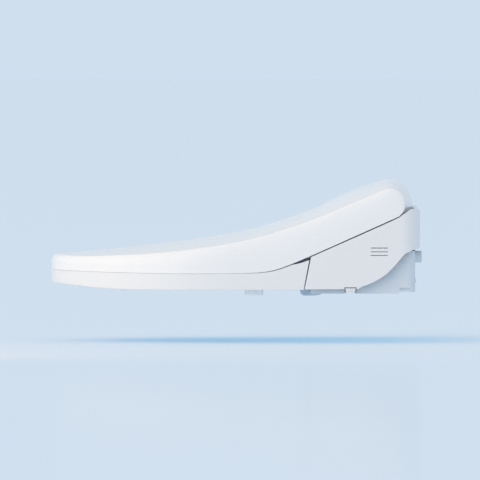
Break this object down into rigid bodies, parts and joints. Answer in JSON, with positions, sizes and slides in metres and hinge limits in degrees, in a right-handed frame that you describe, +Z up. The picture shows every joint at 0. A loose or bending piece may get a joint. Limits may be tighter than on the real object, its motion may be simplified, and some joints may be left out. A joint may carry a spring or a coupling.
{
  "type": "electric bidet seat",
  "caption": "Electric bidet seat: slim sloping lid over a heated seat ring, hinged on a rear unit with retracting wash nozzles and dryer.",
  "frame": {"origin": "middle of the mounting plate's underside, which rests on the bowl's deck, midway between the two bolt slots", "axes": "+Z up, -Y towards the front of the seat, +X towards the sitting user's left"},
  "size_m": [0.3808, 0.5211, 0.1624],
  "materials": {
    "gloss_white": "moulded white, high gloss",
    "matte_white": "moulded white, satin",
    "inner_grey": "moulded cool light grey, satin",
    "water_inlet_plastic": "moulded blue-grey, satin",
    "dark_plastic": "moulded near-black, satin",
    "rubber": "soft pale grey",
    "steel": "stainless, fine brushed",
    "brass": "machined",
    "circuit_board": "green solder mask"
  },
  "bodies": {
    "unit": {"upper_casing": "gloss_white", "base_pan": "inner_grey", "nozzle_housing": "inner_grey", "mounting_plate": "matte_white", "hinge_bracket_left": "matte_white", "hinge_bracket_right": "matte_white", "seat_damper_housing": "dark_plastic", "lid_damper_housing": "dark_plastic", "nozzle_cradle": "matte_white", "rear_wash_motor": "steel", "front_wash_motor": "steel", "blower_housing": "dark_plastic", "dryer_duct": "dark_plastic", "deodoriser_housing": "dark_plastic", "carbon_cartridge": "dark_plastic", "water_heater": "steel", "air_pump": "dark_plastic", "water_inlet": "water_inlet_plastic", "inlet_valve": "brass", "drain_plug": "inner_grey", "cord_gland": "dark_plastic", "control_board": "circuit_board", "power_module": "dark_plastic", "status_lens": "dark_plastic"},
    "seat": {"seat_top_shell": "gloss_white", "seat_base_plate": "matte_white", "seat_heater_foil": "steel", "seat_arm_left": "matte_white", "seat_arm_right": "matte_white", "seat_damper_shaft": "steel", "seat_bumper_front_left": "rubber", "seat_bumper_front_right": "rubber", "seat_bumper_rear_left": "rubber", "seat_bumper_rear_right": "rubber"},
    "lid": {"lid_shell": "gloss_white", "lid_bush_left": "matte_white", "lid_bush_right": "matte_white", "lid_damper_shaft": "steel", "lid_stop_left": "rubber", "lid_stop_right": "rubber"},
    "rear_wash": {"rear_wash_nozzle": "gloss_white", "rear_wash_nozzle_tip": "steel"},
    "front_wash": {"front_wash_nozzle": "gloss_white", "front_wash_nozzle_tip": "steel"},
    "rear_wash_drive": {"rear_wash_pinion": "brass"},
    "front_wash_drive": {"front_wash_pinion": "brass"},
    "blower_wheel": {"blower_impeller": "matte_white"},
    "deodoriser_wheel": {"deodoriser_fan": "matte_white"},
    "flap": {"dryer_flap": "inner_grey"},
    "wash_key": {"aux_button_wash": "matte_white"},
    "stop_key": {"aux_button_stop": "matte_white"},
    "release_key": {"release_button": "matte_white"},
    "left_adjuster": {"bolt_adjuster_left": "steel"},
    "right_adjuster": {"bolt_adjuster_right": "steel"}
  },
  "joints": [
    {"name": "seat_hinge", "type": "hinge", "parent": "unit", "child": "seat", "pos_m": [0, 0.0475, 0.1265], "axis": [-1, 0, 0], "range_deg": [0, 105]},
    {"name": "lid_hinge", "type": "hinge", "parent": "seat", "child": "lid", "pos_m": [0, 0.0475, 0.1265], "axis": [1, 0, 0], "range_deg": [-108, 0]},
    {"name": "rear_wash_slide", "type": "slide", "parent": "unit", "child": "rear_wash", "axis": [0, -0.9033, -0.4289], "range_m": [0, 0.1]},
    {"name": "rear_wash_pinion_spin", "type": "hinge", "parent": "unit", "child": "rear_wash_drive", "pos_m": [0.01, -0.04738, 0.0303], "axis": [-1, 0, 0], "range_deg": [-5, 960]},
    {"name": "front_wash_slide", "type": "slide", "parent": "unit", "child": "front_wash", "axis": [0, -0.9033, -0.4289], "range_m": [0, 0.1]},
    {"name": "front_wash_pinion_spin", "type": "hinge", "parent": "unit", "child": "front_wash_drive", "pos_m": [-0.01, -0.04738, 0.0303], "axis": [-1, 0, 0], "range_deg": [-5, 960]},
    {"name": "blower_spin", "type": "hinge", "parent": "unit", "child": "blower_wheel", "pos_m": [0.11, 0.032, 0.043], "axis": [1, 0, 0], "continuous": true},
    {"name": "deodoriser_spin", "type": "hinge", "parent": "unit", "child": "deodoriser_wheel", "pos_m": [-0.096, -0.03, 0.025], "axis": [0, 1, 0], "continuous": true},
    {"name": "dryer_flap_hinge", "type": "hinge", "parent": "unit", "child": "flap", "pos_m": [0.043, -0.0786, 0.0026], "axis": [-1, 0, 0], "range_deg": [0, 65], "stiffness_Nm_per_rad": 0.0001, "springref_deg": -22.92},
    {"name": "wash_button_press", "type": "slide", "parent": "unit", "child": "wash_key", "axis": [1, 0, 0], "range_m": [0, 0.0012], "stiffness_N_per_m": 600, "springref_m": -0.001},
    {"name": "stop_button_press", "type": "slide", "parent": "unit", "child": "stop_key", "axis": [1, 0, 0], "range_m": [0, 0.0012], "stiffness_N_per_m": 600, "springref_m": -0.001},
    {"name": "release_button_press", "type": "slide", "parent": "unit", "child": "release_key", "axis": [-1, 0, 0], "range_m": [0, 0.004], "stiffness_N_per_m": 500, "springref_m": -0.002},
    {"name": "left_adjuster_slide", "type": "slide", "parent": "unit", "child": "left_adjuster", "axis": [0, 1, 0], "range_m": [-0.01, 0.01]},
    {"name": "right_adjuster_slide", "type": "slide", "parent": "unit", "child": "right_adjuster", "axis": [0, 1, 0], "range_m": [-0.01, 0.01]}
  ],
  "couplings": [
    {"joint": "rear_wash_pinion_spin", "follows": "rear_wash_slide", "rad_per_m": 166.67},
    {"joint": "front_wash_pinion_spin", "follows": "front_wash_slide", "rad_per_m": 166.67}
  ]
}
